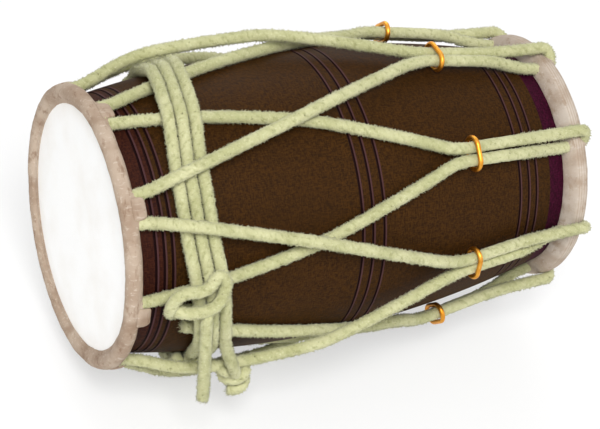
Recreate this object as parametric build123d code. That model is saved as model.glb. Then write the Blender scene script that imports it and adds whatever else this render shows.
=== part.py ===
from build123d import *
import math
import os

# driving sizes in mm: x runs along the drum from bass to treble, psi is counted from the top towards the viewer
bass_face_x = -222.0
treble_face_x = 222.0
skin_t = 1.5
r_bass_end = 108.7
r_belly = 128.0
belly_x = -32.0
r_treble_end = 94.0
wall = 10.0
rope_d = 11.0
lace_points = 8
touch_gap = 0.3
hug_gap = 0.5

# bass rim: a roll of hide set on the shell's edge, with tabs behind it
roll_r = 7.75
roll_rise = 8.3
tab_rise = 8.6
roll_set = 4.75
roll_depth = 13.4
tab_depth = 20.0
turn_depth = 7.5
exit_depth = 21.0
bass_flange = 4.0
bass_step = 0.5
hoop_side = 3.0
hoop_rise = 1.0
bass_leg_t = 12.0

# treble rim: a band of hide over a flat hoop
treble_rise = 18.4
band_width = 20.0
band_proud = 1.5
treble_flange = 1.6
hoop_t = 1.5
hoop_w = 5.9
hoop_back = 10.5
hoop_sink = 3.0
turn_proud = 0.6
under_sink = 10.2
entry_depth = 17.0
pair_t = 6.0

# lacing
cross_x = -48.0
crotch_x = 85.0
pair_end_x = 158.0
touch_x = 120.0
low_stations = (-172.0, -142.0, -112.0, -80.0)
low_stations_far = (-12.0, 24.0)
last_low_x = 58.0
over_last = 62.0
hide_entry = 38.0
crotch_bend = 60.0
pair_bend = 180.0

# rings
wire_d = 4.4
ring_gap = 0.35
ring_x = 99.0

# waist cord
waist_x = -140.0
waist_top = -18.0
waist_front = 23.0
waist_pitch = 11.9
waist_turns = 3
waist_psi = 134.0
frayed_x = -183.0
frayed_next = -146.0
tail_length = 95.0

groove_w = 1.8
groove_deep = 0.7
groove_sets = ((-196.0, -189.0, -182.0), (-13.0, -3.0, 8.0), (152.0, 162.0, 171.0))
paste_r = 60.0
paste_t = 2.5

rope_r = rope_d / 2
wire_r = wire_d / 2
shell_x0 = bass_face_x + skin_t
shell_x1 = treble_face_x - skin_t
roll_mid_r = r_bass_end + roll_rise
bass_collar_r = roll_mid_r + tab_rise
roll_x = bass_face_x + roll_set
bass_roll_back = bass_face_x + roll_depth
bass_tab_back = bass_face_x + tab_depth
bass_exit_x = bass_face_x + exit_depth
bass_hoop_x = bass_face_x
bass_turn_x = bass_face_x + turn_depth
treble_collar_r = r_treble_end + treble_rise
treble_collar_front = treble_face_x + band_proud
treble_collar_back = treble_collar_front - band_width
band_r = treble_collar_r - hoop_sink
band_x0 = treble_face_x - hoop_back
band_x1 = band_x0 + hoop_w
treble_turn_x = treble_face_x + turn_proud
treble_low_r = treble_collar_r - under_sink
treble_entry_x = treble_face_x - entry_depth
step_deg = 360.0 / lace_points


def circle_through(a, b, c):
    d = 2 * (a[0] * (b[1] - c[1]) + b[0] * (c[1] - a[1]) + c[0] * (a[1] - b[1]))
    sq = [p[0] ** 2 + p[1] ** 2 for p in (a, b, c)]
    ux = (sq[0] * (b[1] - c[1]) + sq[1] * (c[1] - a[1]) + sq[2] * (a[1] - b[1])) / d
    uy = (sq[0] * (c[0] - b[0]) + sq[1] * (a[0] - c[0]) + sq[2] * (b[0] - a[0])) / d
    return ux, uy, math.hypot(a[0] - ux, a[1] - uy)


arc_x, arc_y, arc_r = circle_through(
    (shell_x0, r_bass_end), (belly_x, r_belly), (shell_x1, r_treble_end)
)


def barrel(x, out=0.0):
    return arc_y + math.sqrt((arc_r + out) ** 2 - (x - arc_x) ** 2)


def barrel_slope(x):
    return -(x - arc_x) / (barrel(x) - arc_y)


def place(x, psi, r):
    a = math.radians(psi)
    return Vector(x, -r * math.sin(a), r * math.cos(a))


def deg_of(t, r):
    return math.degrees(t / r)


def profile(*pieces):
    edges = [edge for piece in pieces for edge in piece.edges()]
    return make_face(Plane.XZ * Wire(edges))


def barrel_arc(xa, xb, out=0.0):
    xm = (xa + xb) / 2
    return ThreePointArc((xa, barrel(xa, out)), (xm, barrel(xm, out)), (xb, barrel(xb, out)))


def turned(face):
    return revolve(face, Axis.X, 360)


def block(x0, x1, r0, r1):
    return Plane.XZ * Pos((x0 + x1) / 2, (r0 + r1) / 2) * Rectangle(x1 - x0, r1 - r0)


def bend_radii(points, shares=None, largest=None):
    radii = []
    last = len(points) - 2
    for k in range(1, last + 1):
        a = points[k] - points[k - 1]
        b = points[k + 1] - points[k]
        half = math.radians(a.get_angle(b)) / 2
        before, after = (shares or {}).get(k, (0.45, 0.45))
        # a run at either end has no second bend, so it gives up all but a straight stub
        before = 0.9 if k == 1 else before
        after = 0.9 if k == last else after
        r = min(before * a.length, after * b.length) / math.tan(half)
        if largest and k in largest:
            r = min(r, largest[k])
        radii.append(r)
    return radii


def cord(points, name, radii=None, radius=rope_r, sides=8):
    radii = radii or bend_radii(points)
    path = FilletPolyline(*points, radius=radii)
    start = Plane(origin=path @ 0, z_dir=path % 0)
    section = start * RegularPolygon(radius, sides)
    body = sweep(section, path)
    share = body.volume / (section.area * path.length)
    print(f"{name}: length {path.length:.1f} least bend {min(radii):.1f} volume share {share:.4f}")
    return body


# the turned wooden barrel with its fine decorative lines
shell_face = profile(
    barrel_arc(shell_x0, shell_x1),
    Line((shell_x1, barrel(shell_x1)), (shell_x1, barrel(shell_x1, -wall))),
    barrel_arc(shell_x0, shell_x1, -wall),
    Line((shell_x0, barrel(shell_x0, -wall)), (shell_x0, barrel(shell_x0))),
)
for line_set in groove_sets:
    for x in line_set:
        notch = Polyline(
            (x - groove_w / 2, barrel(x) + groove_deep / 2),
            (x + groove_w / 2, barrel(x) + groove_deep / 2),
            (x, barrel(x) - groove_deep),
            close=True,
        )
        shell_face -= make_face(Plane.XZ * notch)
shell = turned(shell_face)
solid_barrel = profile(
    barrel_arc(shell_x0, shell_x1),
    Line((shell_x1, barrel(shell_x1)), (shell_x1, 0)),
    Line((shell_x1, 0), (shell_x0, 0)),
    Line((shell_x0, 0), (shell_x0, barrel(shell_x0))),
)

# skins, the steel inside the rims, the paste under the bass skin
bass_skin_r = r_bass_end + bass_flange
treble_skin_r = r_treble_end + treble_flange
bass_skin_face = block(bass_face_x, shell_x0, 0, r_bass_end + 0.2)
bass_skin_face += block(bass_face_x + bass_step, shell_x0, r_bass_end, bass_skin_r)
treble_skin_face = block(shell_x1, treble_face_x, 0, treble_skin_r)
bass_skin = turned(bass_skin_face)
treble_skin = turned(treble_skin_face)
bass_hoop_face = block(
    bass_hoop_x - hoop_side / 2, bass_hoop_x + hoop_side / 2,
    roll_mid_r + hoop_rise - hoop_side / 2, roll_mid_r + hoop_rise + hoop_side / 2,
)
treble_hoop_face = block(band_x0, band_x1, band_r, band_r + hoop_t)
bass_hoop = turned(bass_hoop_face)
treble_hoop = turned(treble_hoop_face)
tuning_paste = turned(block(shell_x0, shell_x0 + paste_t, 0, paste_r))

# lacing heights
turn_r = barrel(bass_exit_x) + rope_r + touch_gap
lift = rope_d + touch_gap + 0.9
low = rope_r + hug_gap
high = low + lift
waist_low = low + 0.25
over_r = treble_collar_r + rope_r + touch_gap
pair_off = rope_r + ring_gap + wire_d + ring_gap + 0.2


def pair_r(x):
    return barrel(touch_x) + pair_off + 0.12 + barrel_slope(touch_x) * (x - touch_x)


def point_psi(k):
    return (k % lace_points - 1) * step_deg


def waist_mid(psi):
    a = math.radians(psi)
    return waist_x + waist_top * math.cos(a) - waist_front * math.sin(a)


def waist_row(total):
    return waist_mid(waist_psi + total) + waist_pitch * (total / 360.0 - waist_turns / 2 + 0.5)


def waist_band(psi):
    return waist_row((psi - waist_psi) % 360 + 360)


bass_deg = deg_of(bass_leg_t, turn_r)
pair_deg = deg_of(pair_t, pair_r(crotch_x))


def leg_deg(x):
    half = step_deg / 2
    if x < cross_x:
        f = (x - bass_exit_x) / (cross_x - bass_exit_x)
        return bass_deg + (half - bass_deg) * max(f, 0.0)
    f = (x - cross_x) / (crotch_x - cross_x)
    return half + (step_deg - pair_deg - half) * f


def bass_turn(psi, side):
    corner = place(bass_turn_x, psi + side * bass_deg, turn_r)
    middle = place(bass_turn_x, psi, turn_r * math.cos(math.radians(bass_deg)))
    return [middle, corner, place(bass_exit_x, psi + side * bass_deg, turn_r)]


low_in_r = barrel(treble_entry_x) + rope_r + touch_gap


def treble_turn(psi, side):
    over = place(treble_turn_x, psi - deg_of(pair_t, over_r), over_r)
    under = place(treble_turn_x, psi + deg_of(pair_t, treble_low_r), treble_low_r)
    middle = (over + under) / 2
    if side > 0:
        return [place(treble_entry_x, psi - deg_of(pair_t, over_r), over_r), over, middle]
    return [place(treble_entry_x, psi + deg_of(pair_t, low_in_r), low_in_r), under, middle]


bass_share = {1: (0.9, 0.68), 2: (0.3, 0.45)}
frayed = (3, 1)


def run_points(k, side):
    psi = point_psi(k)
    end = psi + side * step_deg
    pts = bass_turn(psi, side)
    over = k % 2 == 0
    if over:
        mid = waist_band(psi + side * leg_deg(waist_band(psi)))
        reach = waist_pitch * 1.5 + 3
        stations = [(mid - reach, high + 0.4), (mid + reach, high + 0.4), (cross_x, high + 0.9)]
        stations.append((crotch_x - over_last, high - 4.5))
    else:
        stations = [(x, low) for x in low_stations + (cross_x,) + low_stations_far]
        stations.append((last_low_x, low + 0.8))
    if (k, side) == frayed:
        pts = []
        stations = [(frayed_x, low), (frayed_next, low)] + stations[2:]
    for x, off in stations:
        pts.append(place(x, psi + side * leg_deg(x), barrel(x) + off))
    bend_at = len(pts)
    for x in (crotch_x, pair_end_x):
        pts.append(place(x, end - side * deg_of(pair_t, pair_r(x)), pair_r(x)))
    if side < 0:
        x = treble_face_x - hide_entry
        pts.append(place(x, end + deg_of(pair_t, barrel(x) + low), barrel(x) + low))
    pts += treble_turn(end, side)
    shares = {len(pts) - 3: (0.45, 0.38), len(pts) - 2: (0.6, 0.9)}
    if (k, side) != frayed:
        shares.update(bass_share)
    return pts, bend_radii(pts, shares, {bend_at: crotch_bend, bend_at + 1: pair_bend})


runs = {}
for k in range(lace_points):
    for side, word in ((1, "a"), (-1, "b")):
        way, bends = run_points(k, side)
        runs[f"lace_{k}{word}"] = cord(way, f"lace_{k}{word}", bends)

# rims of rolled hide, cut clear round the turns of the lacing
tunnel_r = (rope_r + 0.15) / math.cos(math.pi / 8)
over_way, over_bends = run_points(0, 1)
under_way, under_bends = run_points(2, -1)
right_turn = bass_turn(0, 1)
left_turn = bass_turn(0, -1)
out = Vector(9, 0, 0)
bend = under_bends[0]
one_leg = cord([left_turn[0], left_turn[1], left_turn[2] + out], "bass tunnel, one leg", [bend], tunnel_r)
two_legs = cord(
    [right_turn[2] + out, right_turn[1], left_turn[1], left_turn[2] + out],
    "bass tunnel", [bend, bend], tunnel_r,
)
treble_loop = cord(
    over_way[-4:-1] + under_way[-4:-1][::-1],
    "treble tunnel", over_bends[-2:] + under_bends[-2:][::-1], tunnel_r,
)


def all_round(tool, leave=None):
    return [Rot(X=point_psi(k)) * tool for k in range(lace_points) if k != leave]


roll_top = roll_mid_r + roll_r
roll_foot = roll_mid_r - roll_r
roll_face = profile(
    ThreePointArc((roll_x, roll_foot), (roll_x - roll_r, roll_mid_r), (roll_x, roll_top)),
    Polyline(
        (roll_x, roll_top), (roll_x + 4.4, roll_top - 1.4), (bass_roll_back - 1.4, roll_mid_r + 3.4),
        (bass_roll_back, roll_mid_r), (bass_roll_back, r_bass_end), (roll_x, r_bass_end), (roll_x, roll_foot),
    ),
)
tab_face = make_face(Plane.XZ * Polyline(
    (roll_x, roll_top - 4), (roll_x, roll_top), (roll_x + 4, bass_collar_r), (bass_tab_back - 2.5, bass_collar_r),
    (bass_tab_back, bass_collar_r - 2.5), (bass_tab_back, r_bass_end), (roll_x, r_bass_end), close=True,
))
tab_deg = deg_of(bass_leg_t, turn_r)
tab = Rot(X=-tab_deg) * revolve(tab_face, Axis.X, 2 * tab_deg)
hide = turned(roll_face) + all_round(tab)
inside = turned(solid_barrel) + bass_skin + bass_hoop
bass_collar = hide - inside - all_round(two_legs, frayed[0])
bass_collar = bass_collar - Rot(X=point_psi(frayed[0])) * one_leg

edge_in = barrel(treble_collar_back)
treble_collar_face = make_face(Plane.XZ * Polyline(
    (treble_collar_back, edge_in - 8), (treble_collar_back, edge_in + 2.5),
    (treble_collar_back + 7, treble_collar_r - 1), (treble_collar_back + 10, treble_collar_r),
    (treble_collar_front - 4, treble_collar_r), (treble_collar_front, treble_collar_r - 4),
    (treble_collar_front, treble_skin_r + 1.2), (treble_collar_front - 1.2, treble_skin_r),
    (shell_x1, treble_skin_r), (shell_x1, edge_in - 8), close=True,
))
treble_collar_face = treble_collar_face - solid_barrel - treble_skin_face - treble_hoop_face
treble_collar = turned(treble_collar_face) - all_round(treble_loop)

# brass tuning rings, each round a pair of runs
pair_lean = math.degrees(math.atan(barrel_slope(touch_x)))
ring_bend = rope_r + ring_gap + wire_r
ring_path = Plane.YZ * SlotCenterToCenter(2 * pair_t, 2 * ring_bend).wire()
ring_start = Plane(origin=ring_path @ 0, z_dir=ring_path % 0)
flat_ring = sweep(ring_start * RegularPolygon(wire_r, 8), ring_path)
rings = {}
for k in range(lace_points):
    where = Rot(X=point_psi(k)) * Pos(ring_x, 0, pair_r(ring_x)) * Rot(Y=-pair_lean)
    rings[f"tuning_ring_{k}"] = where * flat_ring

# the waist cord: turns side by side, over the odd points' legs and under the even ones'
hump_total = []
for turn in range(-1, waist_turns + 1):
    for k in range(1, lace_points, 2):
        hump_total.append(point_psi(k) - waist_psi + 360.0 * turn)
hump_total.sort()


def hump_shape(total):
    reach = leg_deg(waist_row(total)) + deg_of(rope_r, turn_r) + 1.0
    return reach, step_deg - reach - 0.4


last_total = 360.0 * waist_turns + point_psi(frayed[0]) - waist_psi
last_total += hump_shape(last_total)[0] + 1
stops = [(0.0, waist_low), (5.0, waist_low)]
for n, t in enumerate(hump_total):
    reach, foot = hump_shape(t)
    marks = [(t - foot, waist_low), (t - reach, high), (t - reach / 3, high + 0.3), (t + reach / 3, high + 0.3)]
    marks += [(t + reach, high), (t + foot, waist_low)]
    if n + 1 < len(hump_total):
        nxt = hump_total[n + 1]
        a = t + foot
        b = nxt - hump_shape(nxt)[1]
        parts_n = max(2, round((b - a) / 9.5))
        marks += [(a + (b - a) * j / parts_n, waist_low) for j in range(1, parts_n)]
    stops += [m for m in marks if 8.0 < m[0] < last_total]
waist_pts = [place(waist_row(t), waist_psi + t, barrel(waist_row(t)) + h) for t, h in stops]
over_leg_x = waist_row(last_total) + 17
leg_psi = point_psi(frayed[0] + 1) - leg_deg(over_leg_x)
tail_mid = barrel(over_leg_x) + high + 0.4 + rope_d + 1.0
waist_pts.append(place(over_leg_x, leg_psi, tail_mid))
waist_pts.append(place(over_leg_x + 4, leg_psi + 6.5, tail_mid - 1.5))
waist_pts.append(place(over_leg_x + 6, leg_psi + 14, tail_mid - 9))
waist_cord = cord(waist_pts, "waist_cord")

# the knot: a loop that passes under the raised turns and comes back over them
knot_psi = point_psi(frayed[0])
knot_x = waist_band(knot_psi)
knot_top = high + rope_d + touch_gap + 0.6
knot_way = [
    (1, 0, low), (-24, 0, low + 0.1), (-37, -4, low + 13), (-39, -12, knot_top - 1), (-29, -16.5, knot_top),
    (-16, -17, knot_top), (-3, -18, knot_top), (9, -22, knot_top - 0.5), (17, -16, knot_top - 1),
    (7, -9.5, knot_top), (-8, -6, knot_top), (-25, -6, knot_top),
]
knot_pts = [place(knot_x + x, knot_psi + turn, barrel(knot_x + x) + off) for x, turn, off in knot_way]
waist_knot = cord(knot_pts, "waist_knot")

# a free end that hangs from the knot
tail_start = place(knot_x - 8, knot_psi - 6, barrel(knot_x - 8) + knot_top) + Vector(0, 0, 0.45 - rope_r)
tail_pts = [
    tail_start,
    tail_start + Vector(2.0, -1.5, -28),
    tail_start + Vector(5.5, -1.0, 33 - tail_length),
    tail_start + Vector(9.0, 0.5, -tail_length),
]
knot_tail = cord(tail_pts, "knot_tail")

nodes = {
    "shell": shell, "bass_skin": bass_skin, "treble_skin": treble_skin, "bass_hoop": bass_hoop,
    "treble_hoop": treble_hoop, "bass_collar": bass_collar, "treble_collar": treble_collar,
    "tuning_paste": tuning_paste, "waist_cord": waist_cord, "waist_knot": waist_knot,
    "knot_tail": knot_tail,
}
nodes.update(runs)
nodes.update(rings)

# the drum lies on its lacing: everything is lifted so that the lowest held cord is at the origin plane
held = [node for name, node in nodes.items() if name != "knot_tail"]
axis_z = -min(node.bounding_box().min.Z for node in held)
print(f"axis height {axis_z:.4f}")
print(f"ring slide slope {barrel_slope(touch_x):.6f}")
os.makedirs("parts", exist_ok=True)
for name, node in nodes.items():
    export_step(Pos(0, 0, axis_z) * node, f"parts/{name}.step")
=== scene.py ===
import bpy
import math
import random
import numpy as np
from mathutils import Matrix, Vector, noise
from mathutils.kdtree import KDTree


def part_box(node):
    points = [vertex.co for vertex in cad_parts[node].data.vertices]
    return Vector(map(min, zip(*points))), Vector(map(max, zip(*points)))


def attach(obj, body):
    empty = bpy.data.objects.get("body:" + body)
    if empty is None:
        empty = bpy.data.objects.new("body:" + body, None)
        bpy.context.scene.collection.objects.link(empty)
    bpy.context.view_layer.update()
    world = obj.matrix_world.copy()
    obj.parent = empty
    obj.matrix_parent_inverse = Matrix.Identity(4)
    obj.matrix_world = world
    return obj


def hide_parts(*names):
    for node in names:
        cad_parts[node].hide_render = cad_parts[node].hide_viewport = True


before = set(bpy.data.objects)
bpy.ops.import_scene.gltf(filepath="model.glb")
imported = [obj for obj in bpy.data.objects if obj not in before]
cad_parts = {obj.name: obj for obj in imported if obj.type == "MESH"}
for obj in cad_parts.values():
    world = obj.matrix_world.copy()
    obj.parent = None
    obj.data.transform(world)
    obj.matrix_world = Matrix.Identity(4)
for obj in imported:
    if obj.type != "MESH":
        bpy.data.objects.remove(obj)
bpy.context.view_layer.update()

scene = bpy.context.scene
scene.view_settings.view_transform = "Standard"
shellLow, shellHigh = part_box("shell")
axisZ = (shellLow.z + shellHigh.z) / 2   # height of the drum's axis
mm = 0.001
random.seed(11)


def srgb(r, g, b):   # paint value as seen, 0-255, to the linear colour that sockets take
    def line(v):
        v /= 255
        return v / 12.92 if v <= 0.04045 else ((v + 0.055) / 1.055) ** 2.4
    return (line(r), line(g), line(b), 1.0)


# drum: the sizes that the routes need, in mm, psi counted from the top towards the viewer
drum = dict(x0=-220.5, x1=220.5, bassR=108.7, belly=(-32.0, 128.0), trebleR=94.0, wall=10.0, points=8)
rope = dict(d=11.0, touch=0.3, hug=0.5, core=5.15, sides=14, step=1.25, tuftsPerMm=9.0, tuft=(0.8, 1.9),
            lump=0.28, fluff=0.5, strand=0.08, strands=3, lay=0.034, pressed=0.45,
            combed=(89.0, 149.0))   # where the rings slide they press the pile down
ropeEnd = dict(dome=(0.6, 1.8, 2.4), wisps=70, reach=4.6, wisp=(2.5, 5.2))   # domed, with wisps where it is frayed
floorLow = 0.0001   # ropes are flattened where they lie on the floor, m


def circleThrough(a, b, c):
    d = 2 * (a[0] * (b[1] - c[1]) + b[0] * (c[1] - a[1]) + c[0] * (a[1] - b[1]))
    sq = [p[0] ** 2 + p[1] ** 2 for p in (a, b, c)]
    ux = (sq[0] * (b[1] - c[1]) + sq[1] * (c[1] - a[1]) + sq[2] * (a[1] - b[1])) / d
    uy = (sq[0] * (c[0] - b[0]) + sq[1] * (a[0] - c[0]) + sq[2] * (b[0] - a[0])) / d
    return ux, uy, math.hypot(a[0] - ux, a[1] - uy)


arcX, arcY, arcR = circleThrough((drum["x0"], drum["bassR"]), drum["belly"], (drum["x1"], drum["trebleR"]))


def barrel(x, out=0.0):
    return arcY + math.sqrt((arcR + out) ** 2 - (x - arcX) ** 2)


def barrelSlope(x):
    return -(x - arcX) / (barrel(x) - arcY)


def place(x, psi, r):   # a point on the drum, in metres
    a = math.radians(psi)
    return Vector((x * mm, -r * math.sin(a) * mm, r * math.cos(a) * mm + axisZ))


def degOf(t, r):
    return math.degrees(t / r)


# camera: the picture's own angle, turned with the drum so that it lies on its lacing
photo = dict(az=-26.0, el=19.85, away=2.1, turn=-20.0, focal=2345.7, target=(310.6, 189.0), size=(600, 429))
az, el = math.radians(photo["az"]), math.radians(photo["el"])
back = Vector((math.sin(az) * math.cos(el), -math.cos(az) * math.cos(el), math.sin(el)))
turn = Matrix.Rotation(math.radians(photo["turn"]), 4, "X")
camData = bpy.data.cameras.new("photoCamera")
camData.sensor_width = 36
camData.lens = photo["focal"] / photo["size"][0] * 36
camData.shift_x = -(photo["target"][0] - photo["size"][0] / 2) / photo["size"][0]
camData.shift_y = (photo["target"][1] - photo["size"][1] / 2) / photo["size"][0]
camera = bpy.data.objects.new("photoCamera", camData)
scene.collection.objects.link(camera)
aim = Matrix.Translation((0, 0, axisZ))
look = (-back).to_track_quat("-Z", "Y").to_matrix().to_4x4()
camera.matrix_world = aim @ turn @ Matrix.Translation(back * photo["away"]) @ look
scene.camera = camera
print("camera set")

# lacing: the same points as the part's runs, two legs from each point of the bass rim
lacing = dict(bassTurnX=-214.5, bassExitX=-201.0, bassLeg=12.0, collarR=112.4, trebleTurnX=222.6, lowR=102.2,
              entryX=205.0, pair=6.0, crossX=-48.0, crotchX=85.0, pairEndX=158.0, touchX=120.0,
              wire=4.4, ringGap=0.35, ringX=99.0, frayedX=-170.0, frayed=(3, 1),
              underX=(-172.0, -142.0, -112.0, -80.0), pastX=(-12.0, 24.0), liftX=58.0, lowX=184.0)
waist = dict(x=-140.0, top=-18.0, front=23.0, pitch=11.0, turns=3, psi=134.0)
ropeR = rope["d"] / 2
stepDeg = 360.0 / drum["points"]
turnR = barrel(lacing["bassExitX"]) + ropeR + rope["touch"]
low = ropeR + rope["hug"]
high = low + rope["d"] + rope["touch"] + 0.9
waistLow = low + 0.25
overR = lacing["collarR"] + ropeR + rope["touch"]
lowInR = barrel(lacing["entryX"]) + ropeR + rope["touch"]
pairOff = ropeR + lacing["ringGap"] * 2 + lacing["wire"] + 0.2


def pairR(x):
    touch = lacing["touchX"]
    return barrel(touch) + pairOff + 0.12 + barrelSlope(touch) * (x - touch)


def pointPsi(k):
    return (k % drum["points"] - 1) * stepDeg


def waistMid(psi):
    a = math.radians(psi)
    return waist["x"] + waist["top"] * math.cos(a) - waist["front"] * math.sin(a)


def waistRow(total):
    return waistMid(waist["psi"] + total) + waist["pitch"] * (total / 360.0 - waist["turns"] / 2 + 0.5)


def waistBand(psi):
    return waistRow((psi - waist["psi"]) % 360 + 360)


bassDeg = degOf(lacing["bassLeg"], turnR)
pairDeg = degOf(lacing["pair"], pairR(lacing["crotchX"]))


def legDeg(x):
    half, cross = stepDeg / 2, lacing["crossX"]
    if x < cross:
        return bassDeg + (half - bassDeg) * max((x - lacing["bassExitX"]) / (cross - lacing["bassExitX"]), 0.0)
    return half + (stepDeg - pairDeg - half) * (x - cross) / (lacing["crotchX"] - cross)


def bassTurn(psi, side):
    middle = place(lacing["bassTurnX"], psi, turnR * math.cos(math.radians(bassDeg)))
    corner = place(lacing["bassTurnX"], psi + side * bassDeg, turnR)
    return [middle, corner, place(lacing["bassExitX"], psi + side * bassDeg, turnR)]


def trebleTurn(psi, side):
    x, inX, t = lacing["trebleTurnX"], lacing["entryX"], lacing["pair"]
    over = place(x, psi - degOf(t, overR), overR)
    under = place(x, psi + degOf(t, lacing["lowR"]), lacing["lowR"])
    middle = (over + under) / 2
    if side > 0:
        return [place(inX, psi - degOf(t, overR), overR), over, middle]
    return [place(inX, psi + degOf(t, lowInR), lowInR), under, middle]


def runPoints(k, side):
    psi = pointPsi(k)
    end = psi + side * stepDeg
    cross = lacing["crossX"]
    pts = bassTurn(psi, side)
    if k % 2 == 0:   # these runs ride over the waist cord and over their neighbours
        mid = waistBand(psi + side * legDeg(waistBand(psi)))
        reach = waist["pitch"] * 1.5 + 3
        stations = [(mid - reach, high + 1.4), (mid + reach, high + 1.2)]
        stations += [(cross - 12, high + 1.6), (cross + 12, high + 1.4), (lacing["crotchX"] - 62, high - 4.5)]
    else:
        stations = [(x, low) for x in (*lacing["underX"], cross, *lacing["pastX"])] + [(lacing["liftX"], low + 0.8)]
    if (k, side) == lacing["frayed"]:
        pts = []
        stations = [(lacing["frayedX"], low), (-146.0, low)] + stations[2:]
    for x, off in stations:
        pts.append(place(x, psi + side * legDeg(x), barrel(x) + off))
    for x, t in ((lacing["crotchX"] - 6, 5.4), (lacing["crotchX"] + 26, 5.7), (lacing["pairEndX"], 6.0)):
        pts.append(place(x, end - side * degOf(t, pairR(x)), pairR(x)))
    if side < 0:
        r = barrel(lacing["lowX"]) + low
        pts.append(place(lacing["lowX"], end + degOf(lacing["pair"], r), r))
    return pts + trebleTurn(end, side)


def waistPoints():
    underRuns = range(1, drum["points"], 2)
    humps = sorted(pointPsi(k) - waist["psi"] + 360.0 * n for n in range(-1, waist["turns"] + 1) for k in underRuns)

    def humpShape(total):
        reach = legDeg(waistRow(total)) + degOf(ropeR, turnR) + 1.0
        return reach, stepDeg - reach - 0.4

    frayedPoint = lacing["frayed"][0]
    last = 360.0 * waist["turns"] + pointPsi(frayedPoint) - waist["psi"]
    last += humpShape(last)[0] + 1
    stops = [(0.0, waistLow), (5.0, waistLow)]
    for n, t in enumerate(humps):
        reach, foot = humpShape(t)
        marks = [(t - foot, waistLow), (t - reach, high), (t - reach / 3, high + 0.3), (t + reach / 3, high + 0.3)]
        marks += [(t + reach, high), (t + foot, waistLow)]
        if n + 1 < len(humps):
            a, b = t + foot, humps[n + 1] - humpShape(humps[n + 1])[1]
            count = max(2, round((b - a) / 9.5))
            marks += [(a + (b - a) * j / count, waistLow) for j in range(1, count)]
        stops += [m for m in marks if 8.0 < m[0] < last]
    pts = [place(waistRow(t), waist["psi"] + t, barrel(waistRow(t)) + h) for t, h in stops]
    overX = waistRow(last) + 17
    psi = pointPsi(frayedPoint + 1) - legDeg(overX)
    mid = barrel(overX) + high + 0.4 + rope["d"] + 1.0
    return pts + [place(overX, psi, mid), place(overX + 4, psi + 6.5, mid - 1.5), place(overX + 6, psi + 14, mid - 9)]


knotPsi = pointPsi(lacing["frayed"][0])
knotX = waistBand(knotPsi)
knotTop = high + rope["d"] + rope["touch"] + 0.6
knotWay = [(1, 0, low), (-24, 0, low + 0.1), (-37, -3.6, low + 12),   # mm along, degrees round, mm off the shell
           (-41, -7.5, knotTop - 3), (-38, -13, knotTop - 0.5), (-28, -14.6, knotTop), (-18, -14.2, knotTop),
           (-9, -15.6, knotTop), (-2, -20, knotTop - 0.5), (5, -17, knotTop - 1), (1, -10.5, knotTop),
           (-8, -7.2, knotTop), (-20, -6.4, knotTop), (-29, -6.2, knotTop - 1.5), (-36, -7.0, knotTop - 5)]
knotPoints = [place(knotX + x, knotPsi + a, barrel(knotX + x) + off) for x, a, off in knotWay]
tailStart = place(knotX - 11, knotPsi - 7.0, barrel(knotX - 11) + knotTop) + Vector((0, 0, 0.45 - ropeR)) * mm
tailPoints = [tailStart + Vector(v) * mm for v in ((0, 0, 0), (2.0, -1.5, -28), (5.5, -1.0, -62), (9.0, 0.5, -95))]


def smoothLine(name, points, fine=20):   # one smooth spline with the route's points, read back as a line
    curve = bpy.data.curves.new(name + "Line", "CURVE")
    curve.dimensions = "3D"
    curve.resolution_u = fine
    spline = curve.splines.new("NURBS")
    spline.points.add(len(points) - 1)
    for knob, p in zip(spline.points, points):
        knob.co = (*p, 1)
    spline.order_u = 3
    spline.use_endpoint_u = True
    holder = bpy.data.objects.new(name + "Line", curve)
    scene.collection.objects.link(holder)
    mesh = bpy.data.meshes.new_from_object(holder.evaluated_get(bpy.context.evaluated_depsgraph_get()))
    line = np.array([v.co for v in mesh.vertices])
    bpy.data.objects.remove(holder)
    bpy.data.curves.remove(curve)
    bpy.data.meshes.remove(mesh)
    return line


ropeLines = {}
for k in range(drum["points"]):
    for side, word in ((1, "a"), (-1, "b")):
        ropeLines[f"lace_{k}{word}"] = smoothLine(f"lace{k}{word}", runPoints(k, side))
ropeLines["waist_cord"] = smoothLine("waist", waistPoints(), 10)
ropeLines["waist_knot"] = smoothLine("knot", knotPoints)
ropeLines["knot_tail"] = smoothLine("tail", tailPoints)
print("rope lines read:", len(ropeLines))


class Wire:   # a socket of a material, so that shader maths is written as an expression
    def __init__(self, tree, socket=None):
        self.tree, self.socket = tree, socket

    def add(self, kind, settings=None, out=0, **sockets):   # any node: its settings first, then its sockets
        node = self.tree.nodes.new(kind)
        for key, value in (settings or {}).items():
            setattr(node, key, value)
        for key, value in sockets.items():
            target = node.inputs[int(key[1:])] if key[1:].isdigit() else node.inputs[key.replace("_", " ")]
            if isinstance(value, Wire):
                self.tree.links.new(value.socket, target)
            else:
                target.default_value = value
        return Wire(self.tree, node.outputs[out])

    def maths(self, operation, a, b=0.0):
        return self.add("ShaderNodeMath", {"operation": operation}, s0=a, s1=b)

    def __add__(self, other): return self.maths("ADD", self, other)
    def __radd__(self, other): return self.maths("ADD", other, self)
    def __sub__(self, other): return self.maths("SUBTRACT", self, other)
    def __rsub__(self, other): return self.maths("SUBTRACT", other, self)
    def __mul__(self, other): return self.maths("MULTIPLY", self, other)
    def __abs__(self): return self.maths("ABSOLUTE", self)

    def ramp(self, a, b):   # 0 below a, 1 above b
        return self.add("ShaderNodeMapRange", {"interpolation_type": "SMOOTHSTEP"}, Value=self, From_Min=a, From_Max=b)

    def near(self, at, half, soft):   # a stripe round one value
        return 1 - abs(self - at).ramp(half, half + soft)

    def mix(self, a, b):   # colour a where this is 0, b where it is 1
        return self.add("ShaderNodeMix", {"data_type": "RGBA"}, 2, s0=self, s6=a, s7=b)


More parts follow.
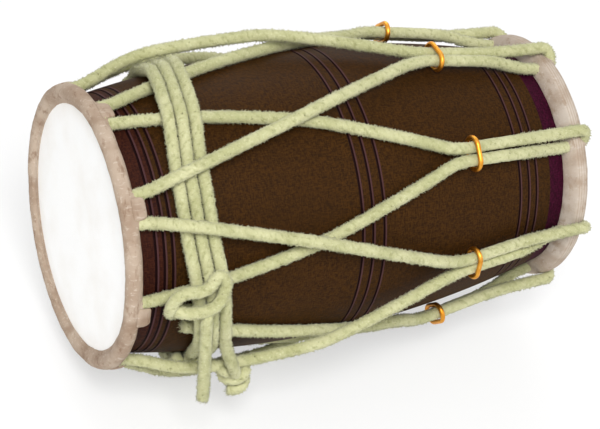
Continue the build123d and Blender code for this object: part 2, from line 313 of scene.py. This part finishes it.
class Finish:   # a new material with its start wires
    def __init__(self, name, **constants):
        self.material = bpy.data.materials.new(name)
        self.material.use_nodes = True
        tree = self.material.node_tree
        self.shader = tree.nodes["Principled BSDF"]
        for key, value in constants.items():
            self.shader.inputs[key.replace("_", " ")].default_value = value
        self.start = Wire(tree)
        self.at = self.start.add("ShaderNodeTexCoord", out=3)
        self.x = self.start.add("ShaderNodeSeparateXYZ", Vector=self.at)
        self.tree = tree

    def noise(self, scale, detail=3.0, rough=0.55, stretch=None):
        where = self.at
        if stretch:
            where = self.start.add("ShaderNodeMapping", Vector=where, Scale=stretch)
        return self.start.add("ShaderNodeTexNoise", Vector=where, Scale=scale, Detail=detail, Roughness=rough)

    def attribute(self, name):
        return self.start.add("ShaderNodeAttribute", {"attribute_name": name}, 2)

    def feed(self, **wires):
        for key, wire in wires.items():
            self.tree.links.new(wire.socket, self.shader.inputs[key.replace("_", " ")])

    def bump(self, height, strength, distance):
        self.feed(Normal=self.start.add("ShaderNodeBump", Height=height, Strength=strength, Distance=distance))


def ropeFinish():
    f = Finish("cottonRope", Roughness=0.92, Sheen_Weight=0.2, Specular_IOR_Level=0.2)
    crest = f.attribute("crest")   # 0 in the hollows between tufts, 1 on their tips
    fluff = f.noise(640, 3)
    drift = f.noise(34, 2)
    tone = drift.ramp(0.35, 0.68).mix(srgb(180, 180, 134), srgb(198, 197, 154))
    tone = (fluff.ramp(0.52, 0.74) * 0.55).mix(tone, srgb(214, 214, 178))
    # painted shade: darker in the hollows between tufts, where the crest is low
    tone = ((1 - crest.ramp(0.05, 0.5)) * 0.6).mix(tone, srgb(136, 136, 86))
    speck = f.noise(300, 2).ramp(0.66, 0.74) * (1 - crest.ramp(0.3, 0.8))
    tone = (speck * 0.7).mix(tone, srgb(98, 96, 60))
    f.feed(Base_Color=tone)
    f.bump(fluff + f.noise(1500, 2) * 0.5, 0.5, 0.0008)
    return f.material


def shellFinish():
    f = Finish("darkShell", Specular_IOR_Level=0.06)
    xMm = f.x * 1000.0
    weft = f.noise(260, 2, stretch=(1.0, 3.2, 3.2))
    warp = f.noise(260, 2, stretch=(3.4, 1.0, 1.0))
    pores = f.noise(900, 2)
    grain = weft * 0.5 + warp * 0.5
    tone = grain.ramp(0.36, 0.66).mix(srgb(38, 21, 4), srgb(66, 40, 11))
    tone = (f.noise(9, 2).ramp(0.4, 0.75) * 0.35).mix(tone, srgb(46, 28, 9))
    tone = (pores.ramp(0.56, 0.7) * 0.3).mix(tone, srgb(82, 54, 22))
    # painted bands beside the rims
    plum = xMm.ramp(187.2, 188.0)
    tone = plum.mix(tone, grain.ramp(0.36, 0.66).mix(srgb(35, 3, 18), srgb(64, 12, 38)))
    maroon = 1 - xMm.ramp(-190.5, -188.0)
    tone = (maroon * 0.9).mix(tone, grain.ramp(0.36, 0.66).mix(srgb(40, 15, 12), srgb(63, 30, 20)))
    grooveShade, lit = None, None
    # each turned line: painted shade in its groove and a painted highlight along one edge
    for x in shell["grooves"]:
        line, edge = xMm.near(x, 0.8, 0.5), xMm.near(x + 1.7, 0.5, 0.5)
        grooveShade, lit = (line, edge) if grooveShade is None else (grooveShade + line, lit + edge)
    # painted highlight along one edge of each groove
    tone = (lit * 0.75).mix(tone, srgb(78, 52, 55))
    # painted shade in each groove
    tone = grooveShade.mix(tone, srgb(24, 6, 7))
    f.feed(Base_Color=tone, Roughness=0.5 + grain * 0.25)
    f.bump(grain + pores * 0.4, 0.55, 0.0009)
    return f.material


def hideFinish(name, base, pale, deep, lit, lines):
    f = Finish(name, Specular_IOR_Level=0.14)
    fibres = f.noise(210, 4, 0.65, stretch=(1.0, 0.35, 0.35))
    cross = f.noise(330, 3, 0.6, stretch=(0.35, 1.4, 1.4))
    blotch = f.noise(26, 3)
    tone = blotch.ramp(0.32, 0.7).mix(base, pale)
    tone = (fibres.ramp(0.52, 0.7) * 0.75).mix(tone, deep)
    tone = (cross.ramp(0.55, 0.72) * 0.6).mix(tone, lit)
    # painted shade in the creases, where the crest is low
    tone = ((1 - f.attribute("crest").ramp(0.1, 0.6)) * 0.55).mix(tone, deep)
    xMm = f.x * 1000.0
    # painted shade along each turned line cut into the hide
    for x in lines:
        tone = (xMm.near(x, 0.2, 0.35) * 0.5).mix(tone, deep)
    f.feed(Base_Color=tone, Roughness=0.7 + fibres * 0.25)
    f.bump(fibres * 0.7 + cross, 0.6, 0.0009)
    return f.material


def skinFinish():
    f = Finish("whiteSkin", Specular_IOR_Level=0.3)
    cloud, fine = f.noise(14, 4), f.noise(420, 3)
    tone = cloud.ramp(0.4, 0.72).mix(srgb(252, 252, 251), srgb(245, 243, 239))
    tone = (fine.ramp(0.58, 0.75) * 0.25).mix(tone, srgb(236, 232, 226))
    away = f.start.add("ShaderNodeVectorMath", {"operation": "LENGTH"}, 1,
                       s0=f.start.add("ShaderNodeMapping", Vector=f.at, Location=(0, 0, -axisZ), Scale=(0, 1, 1)))
    tone = (away.ramp(0.088, 0.112) * 0.2).mix(tone, srgb(226, 214, 198))
    f.feed(Base_Color=tone, Roughness=0.5 + fine * 0.25)
    f.bump(fine + cloud * 0.6, 0.25, 0.0006)
    return f.material


def brassFinish():
    f = Finish("ringBrass", Metallic=1.0)
    cloud, scratch = f.noise(150, 3), f.noise(700, 2, stretch=(1.0, 0.15, 0.15))
    tone = cloud.ramp(0.35, 0.7).mix(srgb(226, 160, 62), srgb(206, 132, 38))
    tone = (scratch.ramp(0.6, 0.72) * 0.5).mix(tone, srgb(238, 190, 104))
    f.feed(Base_Color=tone, Roughness=0.26 + cloud * 0.22)
    f.bump(scratch, 0.15, 0.0004)
    return f.material


def plainFinish(name, a, b, rough, metal=0.0):
    f = Finish(name, Metallic=metal)
    cloud = f.noise(160, 3)
    f.feed(Base_Color=cloud.ramp(0.35, 0.68).mix(a, b), Roughness=rough + cloud * 0.2)
    f.bump(cloud, 0.2, 0.0005)
    return f.material


def onlySelect(obj):
    bpy.ops.object.select_all(action="DESELECT")
    obj.select_set(True)
    bpy.context.view_layer.objects.active = obj


def smoothTo(obj, degrees):   # smooth shading, sharp where faces meet at more than this
    onlySelect(obj)
    bpy.ops.object.shade_smooth_by_angle(angle=math.radians(degrees))


def atPoint(k):   # from the drum's axis to rim point k
    return Matrix.Translation((0, 0, axisZ)) @ Matrix.Rotation(math.radians(pointPsi(k)), 4, "X")


def spunPiece(name, profile, steps=192):   # a closed loop of points (x, r) in mm, turned about the drum's axis
    bpy.ops.object.select_all(action="DESELECT")
    bpy.ops.mesh.primitive_plane_add(size=0.001)
    obj = bpy.context.object
    obj.name = obj.data.name = name
    bpy.ops.object.mode_set(mode="EDIT")
    bpy.ops.mesh.select_all(action="SELECT")
    bpy.ops.mesh.merge(type="CENTER")
    loop = [Vector((x * mm, 0, r * mm + axisZ)) for x, r in profile]
    bpy.ops.transform.translate(value=loop[0])
    for a, b in zip(loop, loop[1:] + loop[:1]):
        bpy.ops.mesh.extrude_vertices_move(TRANSFORM_OT_translate={"value": b - a})
    bpy.ops.mesh.select_all(action="SELECT")
    bpy.ops.mesh.remove_doubles(threshold=1e-6)
    bpy.ops.mesh.spin(steps=steps, angle=2 * math.pi, center=(0, 0, axisZ), axis=(1, 0, 0))
    bpy.ops.mesh.select_all(action="SELECT")
    bpy.ops.mesh.remove_doubles(threshold=2e-6)
    bpy.ops.mesh.normals_make_consistent(inside=False)
    bpy.ops.object.mode_set(mode="OBJECT")
    return obj


def settle(obj, body, node, material):
    onlySelect(obj)
    obj.data.materials.clear()
    obj.data.materials.append(material)
    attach(obj, body)
    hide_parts(node)


# shell: the turned barrel with three sets of fine lines
shell = dict(grooves=(-196.0, -189.0, -182.0, -13.0, -3.0, 8.0, 152.0, 162.0, 171.0),
             width=1.8, deep=0.7, stepX=9.0, bassEdge=-217.5)
outer = []
marks = {shell["bassEdge"], drum["x1"]}
for g in shell["grooves"]:
    marks.update((g - shell["width"] / 2, g - 0.3, g + 0.3, g + shell["width"] / 2))
x = shell["bassEdge"] + shell["stepX"]
while x < drum["x1"] - 2:
    if min(abs(x - g) for g in shell["grooves"]) > 2.5:
        marks.add(x)
    x += shell["stepX"]
for x in sorted(marks):
    cut = shell["deep"] if min(abs(x - g) for g in shell["grooves"]) < 0.5 else 0.0
    outer.append((x, barrel(x) - cut))
inner = [(x, barrel(x, -drum["wall"])) for x in np.linspace(drum["x1"], shell["bassEdge"], 24)]
barrelPiece = spunPiece("drumBarrel", outer + inner, 240)
smoothTo(barrelPiece, 25)
settle(barrelPiece, "drum", "shell", shellFinish())
print("shell made")

# ropes: fluffy cotton cord, tufts all round, frayed where an end is loose
ropeMaterial = ropeFinish()
ropeTree = KDTree(sum(len(line) for line in ropeLines.values()))
count = 0
for line in ropeLines.values():
    for p in line:
        ropeTree.insert(p, count)
        count += 1
ropeTree.balance()


def evenLine(line, step):
    gaps = np.linalg.norm(np.diff(line, axis=0), axis=1)
    at = np.concatenate([[0], np.cumsum(gaps)])
    want = np.linspace(0, at[-1], max(8, round(at[-1] / step)))
    return np.stack([np.interp(want, at, line[:, i]) for i in range(3)], axis=1), at[-1]


def ropeMesh(name, line, frayStart=False, frayEnd=False):
    pts, length = evenLine(line, rope["step"] * mm)
    along = np.gradient(pts, axis=0)
    along /= np.linalg.norm(along, axis=1)[:, None]
    side = np.cross(along[0], (0.3, 0.2, 1.0))
    sides, verts, crest, faces = rope["sides"], [], [], []
    frames = []
    seed = random.random() * 40
    for i, (p, t) in enumerate(zip(pts, along)):
        side = side - t * np.dot(side, t)
        side = side / np.linalg.norm(side)
        up = np.cross(t, side)
        frames.append((p, t, side, up))
        s = i * length / (len(pts) - 1)
        for j in range(sides):
            a = 2 * math.pi * j / sides
            out = math.cos(a) * side + math.sin(a) * up
            spot = Vector(p + out * ropeR * mm)
            lump = noise.noise(spot * 95 + Vector((seed, 0, 0)))
            fluff = noise.noise(spot * 420)
            strand = math.cos(rope["strands"] * (a - s * 2 * math.pi / rope["lay"]))
            r = rope["core"] + rope["lump"] * lump + rope["fluff"] * fluff + rope["strand"] * strand
            verts.append(p + out * r * mm)
            crest.append(0.45 + 0.55 * fluff + rope["strand"] * strand)
    rows = len(pts)
    for i in range(rows - 1):
        for j in range(sides):
            k = (j + 1) % sides
            faces.append((i * sides + j, i * sides + k, (i + 1) * sides + k, (i + 1) * sides + j))
    for row, way in ((0, -1), (rows - 1, 1)):   # domed ends
        p, t, sideV, up = frames[row]
        shrink, shoulder, tipOut = ropeEnd["dome"]
        ring = [row * sides + j for j in range(sides)]
        dome = len(verts)
        for j in ring:
            verts.append(p + (verts[j] - p) * shrink + t * way * shoulder * mm)
            crest.append(0.4)
        verts.append(p + t * way * tipOut * mm)
        crest.append(0.4)
        for j in range(sides):
            k = (j + 1) % sides
            quad = (ring[j], ring[k], dome + k, dome + j)
            tip = (dome + j, dome + k, dome + sides)
            faces.append(quad if way > 0 else quad[::-1])
            faces.append(tip if way > 0 else tip[::-1])

    def tuft(root, out, lean, height, width):   # a three-sided tuft
        across = np.cross(out, lean)
        base = len(verts)
        for a in (0, 2.094, 4.189):
            verts.append(root + (math.cos(a) * lean + math.sin(a) * across) * width)
            crest.append(0.45)
        verts.append(root + out * height + lean * height * random.uniform(-0.6, 0.9))
        crest.append(1.0)
        faces.extend([(base, base + 1, base + 3), (base + 1, base + 2, base + 3), (base + 2, base, base + 3)])

    for n in range(round(length / mm * rope["tuftsPerMm"])):
        p, t, sideV, up = frames[random.randrange(rows)]
        a = random.uniform(0, 2 * math.pi)
        out = math.cos(a) * sideV + math.sin(a) * up
        root = p + out * (rope["core"] - 0.35) * mm + t * random.uniform(-0.6, 0.6) * mm
        pressed = rope["pressed"] if rope["combed"][0] < p[0] / mm < rope["combed"][1] else 1.0
        tuft(root, out, t, (random.uniform(*rope["tuft"]) + 0.3) * pressed * mm, random.uniform(0.4, 0.8) * mm)
    for loose, row, way in ((frayStart, 0, -1), (frayEnd, rows - 1, 1)):
        for n in range(ropeEnd["wisps"] if loose else 0):
            p, t, sideV, up = frames[row]
            a, r = random.uniform(0, 2 * math.pi), math.sqrt(random.random())
            out = math.cos(a) * sideV + math.sin(a) * up
            aim = t * way + out * r * random.uniform(0.1, 0.55)
            aim /= np.linalg.norm(aim)
            lean = np.cross(aim, out)
            tuft(p + out * r * ropeEnd["reach"] * mm, aim, lean / np.linalg.norm(lean),
                 random.uniform(*ropeEnd["wisp"]) * mm, random.uniform(0.4, 0.75) * mm)
    mesh = bpy.data.meshes.new(name)
    mesh.from_pydata([(v[0], v[1], max(v[2], floorLow)) for v in verts], [], faces)
    mesh.attributes.new("crest", "FLOAT", "POINT").data.foreach_set("value", np.array(crest, np.float32))
    obj = bpy.data.objects.new(name, mesh)
    scene.collection.objects.link(obj)
    onlySelect(obj)
    bpy.ops.object.shade_smooth()
    return obj, length, pts


# the waist cord's end is tied off in a small knot over the lowest run
endKnot = dict(radius=9.4, turns=2.0, rise=22.0, perTurn=12, uneven=0.12, back=0.75)
endAt, endFrom = Vector(ropeLines["waist_cord"][-8]), Vector(ropeLines["waist_cord"][-60])
endAxis = (endAt - endFrom).normalized()
endSide = endAxis.orthogonal().normalized()
endUp = endAxis.cross(endSide)
knotTurns = []
for n in range(round(endKnot["turns"] * endKnot["perTurn"]) + 1):
    a = 2 * math.pi * n / endKnot["perTurn"]
    f = n / (endKnot["turns"] * endKnot["perTurn"])
    spread = endKnot["radius"] * (1 + endKnot["uneven"] * math.sin(a * 1.7))
    off = endSide * math.cos(a) * spread + endUp * math.sin(a) * spread
    knotTurns.append(endAt + (off + endAxis * (f - endKnot["back"]) * endKnot["rise"]) * mm)
for node, line in ropeLines.items():
    loose = (node == "lace_3a", node in ("waist_cord", "knot_tail"))
    piece, length, centres = ropeMesh(node.replace("_", "") + "Rope", line, *loose)
    settle(piece, "drum", node, ropeMaterial)
tied = ropeMesh("waistEndKnot", smoothLine("endKnot", knotTurns, 12), True, True)[0]
tied.data.materials.append(ropeMaterial)
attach(tied, "drum")


lineDeep, lineHalf = 0.25, 0.5   # of a turned line in the hide, mm


def press(obj, clear):   # the hide gives way where a rope lies in it
    for v in obj.data.vertices:
        near, _, gap = ropeTree.find(v.co)
        if gap < clear:
            v.co = near + (v.co - near) * (clear / max(gap, 1e-6))


def wrinkle(obj, amount, scale, lines=()):   # creases and turned lines in the hide, the crest kept for the painted shade in the creases
    crest = []
    normals = [v.normal.copy() for v in obj.data.vertices]
    for v, n in zip(obj.data.vertices, normals):
        psi = math.atan2(-v.co.y, v.co.z - axisZ)
        fold = noise.noise(Vector((math.cos(psi), math.sin(psi), v.co.x * 4)) * scale)
        fine = noise.noise(v.co * 240)
        more = -lineDeep if any(abs(v.co.x / mm - g) < lineHalf for g in lines) else 0.0
        v.co += n * (amount * (0.65 * fold + 0.35 * fine) + more) * mm
        crest.append(0.5 + 0.5 * fold + 0.2 * fine)
    obj.data.attributes.new("crest", "FLOAT", "POINT").data.foreach_set("value", np.array(crest, np.float32))


# bass rim: hide rolled over the hoop, with a collar that holds the turns of the lacing
bassRim = dict(rollX=-217.25, rollMid=117.0, rollR=7.2, rollDeg=(-63, 168), amount=0.7, scale=7.0, clear=5.4)
turnAngles = [math.radians(a) for a in np.linspace(*bassRim["rollDeg"], 32)]
rollR = bassRim["rollR"]
roll = [(bassRim["rollX"] - rollR * math.cos(a), bassRim["rollMid"] + rollR * math.sin(a)) for a in turnAngles]
foot = [(-208.9, 115.4), (-208.7, 112.9)]
foot += [(x, barrel(x) + clear) for x, clear in ((-208.9, 0.15), (-213.0, 0.15), (-217.0, 0.3))]
lip = [(-218.95, 107.2), (-219.6, 107.4), (-220.05, 108.6)]   # the hide's edge on the skin
bassPiece = spunPiece("bassRimHide", lip + roll + foot, 360)
tanHide = hideFinish("tanHide", srgb(163, 142, 123), srgb(184, 166, 148), srgb(134, 108, 87),
                     srgb(206, 192, 177), ())
wrinkle(bassPiece, bassRim["amount"], bassRim["scale"])
press(bassPiece, bassRim["clear"] * mm)
smoothTo(bassPiece, 50)
settle(bassPiece, "drum", "bass_collar", tanHide)
# a tab of the same hide folds back over each turn of the lacing
tab = dict(x0=-215.5, x1=-202.6, half=9.5, low=111.0, top=125.2, cuts=9, midR=118, taper=0.22, drop=1.6,
           amount=0.8, scale=9.0, clear=5.35)
bpy.ops.object.select_all(action="DESELECT")
bpy.ops.mesh.primitive_cube_add(size=1.0)
firstTab = bpy.context.object
bpy.ops.object.mode_set(mode="EDIT")
bpy.ops.mesh.select_all(action="SELECT")
bpy.ops.mesh.subdivide(number_cuts=tab["cuts"])
bpy.ops.mesh.vertices_smooth(factor=0.5, repeat=6)
bpy.ops.object.mode_set(mode="OBJECT")
spread = [max(abs(v.co[i]) for v in firstTab.data.vertices) for i in range(3)]
for v in firstTab.data.vertices:
    across, along, up = (v.co[i] / spread[i] for i in (1, 0, 2))
    x = tab["x0"] + (tab["x1"] - tab["x0"]) * (along + 1) / 2
    narrow = 1 - tab["taper"] * max(along, 0) ** 2
    r = tab["low"] + (tab["top"] - tab["low"] - tab["drop"] * max(along, 0) ** 2) * (up + 1) / 2
    v.co = place(x, degOf(across * tab["half"] * narrow, tab["midR"]), r)
for k in range(drum["points"]):
    piece = firstTab.copy()
    piece.data = firstTab.data.copy()
    piece.name = piece.data.name = f"bassTab{k}"
    scene.collection.objects.link(piece)
    piece.data.transform(atPoint(k) @ Matrix.Translation((0, 0, -axisZ)))
    wrinkle(piece, tab["amount"], tab["scale"])
    press(piece, tab["clear"] * mm)
    onlySelect(piece)
    bpy.ops.object.shade_smooth()
    piece.data.materials.append(tanHide)
    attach(piece, "drum")
bpy.data.objects.remove(firstTab)
print("bass rim made")

# treble rim: a flat band of paler hide with fine turned lines
trebleRim = dict(back=203.5, amount=0.35, scale=9.0, clear=5.4, lines=(212.2, 214.6, 217.0, 219.4))
edgeIn = barrel(trebleRim["back"])
band = [(trebleRim["back"], edgeIn + 0.15), (trebleRim["back"], edgeIn + 2.5), (206.6, 106.0), (209.6, 110.7),
        (211.4, 111.9), (213.5, 112.4), (216.0, 112.4), (218.4, 112.3), (220.0, 111.7), (221.8, 110.2),
        (223.0, 108.4), (223.5, 106.4), (223.5, 103.0), (223.5, 99.6), (223.2, 97.2), (222.3, 95.75), (221.0, 95.7)]
band += [(x, barrel(x) + 0.15) for x in (219.8, 212.0)]
treblePiece = spunPiece("trebleRimHide", band, 360)
wrinkle(treblePiece, trebleRim["amount"], trebleRim["scale"], trebleRim["lines"])
press(treblePiece, trebleRim["clear"] * mm)
smoothTo(treblePiece, 50)
paleHide = hideFinish("paleHide", srgb(181, 165, 150), srgb(196, 184, 171), srgb(157, 136, 116),
                      srgb(204, 195, 185), trebleRim["lines"])
settle(treblePiece, "drum", "treble_collar", paleHide)
print("treble rim made")

# skins: stretched flat, a hair of dish where the hoop pulls them down
skins = dict(bass=(-219.0, -217.5, 112.6), treble=(222.0, 220.5, 95.5), dish=0.35, edge=14)
skinMaterial = skinFinish()
for word, (face, rear, rim) in (("bass", skins["bass"]), ("treble", skins["treble"])):
    inward = 1 if word == "bass" else -1
    edge = skins["edge"]
    rs = np.concatenate([np.linspace(0, rim - edge, 12), np.linspace(rim - 10, rim, 7)])
    sink = [0.0 if r < rim - edge else ((r - rim + edge) / edge) ** 2 for r in rs]
    front = [(face + inward * skins["dish"] * s, r) for s, r in zip(sink, rs)]
    skin = spunPiece(word + "Head", front + [(rear, r) for r in rs[::-1]], 192)
    smoothTo(skin, 30)
    settle(skin, "drum", word + "_skin", skinMaterial)
print("skins made")

# tuning paste: a low cake on the inner side of the bass skin, thinner towards its edge
paste = dict(face=-217.48, r=60.0, thick=2.5)
rs = np.linspace(0, paste["r"], 14)
cake = [(paste["face"] + paste["thick"] * (0.25 + 0.75 * math.sqrt(1 - (r / paste["r"]) ** 4)), r) for r in rs]
cakePiece = spunPiece("pasteCake", [(paste["face"], r) for r in rs[::-1]] + cake, 96)
smoothTo(cakePiece, 40)
darkPaste = plainFinish("darkPaste", srgb(38, 32, 28), srgb(58, 48, 40), 0.6)
settle(cakePiece, "drum", "tuning_paste", darkPaste)
print("paste made")

# tuning rings: bent brass wire round each pair of runs, with a butt joint
ring = dict(wire=2.2, major=64, minor=20, jointShrink=0.8, jointAt=-1.95, jointHalf=0.07, hammer=0.03)
ringBend = ropeR + lacing["ringGap"] + ring["wire"]
bpy.ops.object.select_all(action="DESELECT")
bpy.ops.mesh.primitive_torus_add(major_radius=ringBend * mm, minor_radius=ring["wire"] * mm,
                                 major_segments=ring["major"], minor_segments=ring["minor"],
                                 rotation=(0, math.pi / 2, 0))
firstRing = bpy.context.object
bpy.ops.object.transform_apply(location=True, rotation=True, scale=True)
for way in (1, -1):   # drawn out into a long link
    bpy.ops.object.mode_set(mode="EDIT")
    bpy.ops.mesh.select_mode(type="VERT")
    bpy.ops.mesh.select_all(action="DESELECT")
    bpy.ops.object.mode_set(mode="OBJECT")
    for v in firstRing.data.vertices:
        v.select = v.co.y * way > 1e-6
    bpy.ops.object.mode_set(mode="EDIT")
    bpy.ops.transform.translate(value=(0, way * lacing["pair"] * mm, 0))
    bpy.ops.object.mode_set(mode="OBJECT")
for v in firstRing.data.vertices:   # hammered a little, with a groove where the wire's ends meet
    centre = Vector((0, max(-lacing["pair"] * mm, min(lacing["pair"] * mm, v.co.y)), 0))
    hub = centre + (Vector((0, v.co.y, v.co.z)) - centre).normalized() * ringBend * mm
    angle = math.atan2(v.co.z, v.co.y)
    joint = ring["jointShrink"] if abs(angle - ring["jointAt"]) < ring["jointHalf"] else 1.0
    v.co = hub + (v.co - hub) * joint * (1 - ring["hammer"] * (0.5 + 0.5 * noise.noise(v.co * 420)))
lean = math.degrees(math.atan(barrelSlope(lacing["touchX"])))
brass = brassFinish()
for k in range(drum["points"]):
    piece = firstRing.copy()
    piece.data = firstRing.data.copy()
    piece.name = piece.data.name = f"tuningRing{k}"
    scene.collection.objects.link(piece)
    x = lacing["ringX"]
    onPair = Matrix.Translation((x * mm, 0, pairR(x) * mm)) @ Matrix.Rotation(math.radians(-lean), 4, "Y")
    piece.data.transform(atPoint(k) @ onPair)
    onlySelect(piece)
    bpy.ops.object.shade_smooth()
    settle(piece, f"ring_{k}", f"tuning_ring_{k}", brass)
bpy.data.objects.remove(firstRing)
ringSpots = np.array([v.co for v in piece.data.vertices])
ringSides = ringSpots.max(axis=0) - ringSpots.min(axis=0)
print("rings made, last one spans", [round(float(v) * 1000, 1) for v in ringSides], "mm")

# the steel inside the rims stays as it is in the frame
inside = dict(bass_hoop=plainFinish("hoopSteel", srgb(120, 122, 124), srgb(150, 150, 148), 0.35, 1.0),
              treble_hoop=plainFinish("bandSteel", srgb(122, 122, 122), srgb(146, 147, 148), 0.35, 1.0))
for node, material in inside.items():
    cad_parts[node].data.materials.clear()
    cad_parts[node].data.materials.append(material)

# floor and light
studio = dict(floor=30.0, floorGlow=0.58, world=0.42,   # lamps: power, size, place
              key=(88.0, 1.2, (-0.9, -1.9, 2.7)), fill=(16.0, 2.4, (2.4, -1.6, 1.4)),
              head=(7.5, 1.4, (-2.6, -0.9, 1.2)), rear=(34.0, 2.4, (0.7, 2.5, 1.9)))
bpy.ops.object.select_all(action="DESELECT")
bpy.ops.mesh.primitive_grid_add(x_subdivisions=8, y_subdivisions=8, size=studio["floor"],
                                location=(0, 0, -0.0004))
floor = bpy.context.object
floor.name = "paleFloor"
floorFinish = Finish("paleFloor", Base_Color=srgb(246, 246, 246), Roughness=0.9, Specular_IOR_Level=0.1)
out = floorFinish.tree.nodes["Material Output"]


def seenRay(start):   # 1 for rays from the camera, and those that metal or glass sends on
    names = ("Is Camera Ray", "Is Glossy Ray", "Is Transmission Ray")
    eye, glossy, through = (start.add("ShaderNodeLightPath", out=name) for name in names)
    return (eye + glossy + through).ramp(0.0, 1.0)


glow = floorFinish.start.add("ShaderNodeEmission", Color=(1, 1, 1, 1), Strength=1.0)
both = floorFinish.start.add("ShaderNodeMixShader", s0=seenRay(floorFinish.start) * studio["floorGlow"],
                             s1=Wire(floorFinish.tree, floorFinish.shader.outputs[0]), s2=glow)
floorFinish.tree.links.new(both.socket, out.inputs[0])
floor.data.materials.append(floorFinish.material)
world = bpy.data.worlds.new("studio")
scene.world = world
world.use_nodes = True
world.node_tree.nodes["Background"].inputs[0].default_value = (1, 1, 1, 1)
sky = studio["world"] + seenRay(Wire(world.node_tree)) * (1 - studio["world"])
world.node_tree.links.new(sky.socket, world.node_tree.nodes["Background"].inputs[1])
for word in ("key", "fill", "head", "rear"):
    power, size, at = studio[word]
    lamp = bpy.data.lights.new(word, "AREA")
    lamp.energy, lamp.size = power, size
    holder = bpy.data.objects.new(word, lamp)
    scene.collection.objects.link(holder)
    holder.location = at
    holder.rotation_mode = "QUATERNION"
    holder.rotation_quaternion = (Vector((0, 0, axisZ)) - Vector(at)).to_track_quat("-Z", "Y")
print("floor and light set")
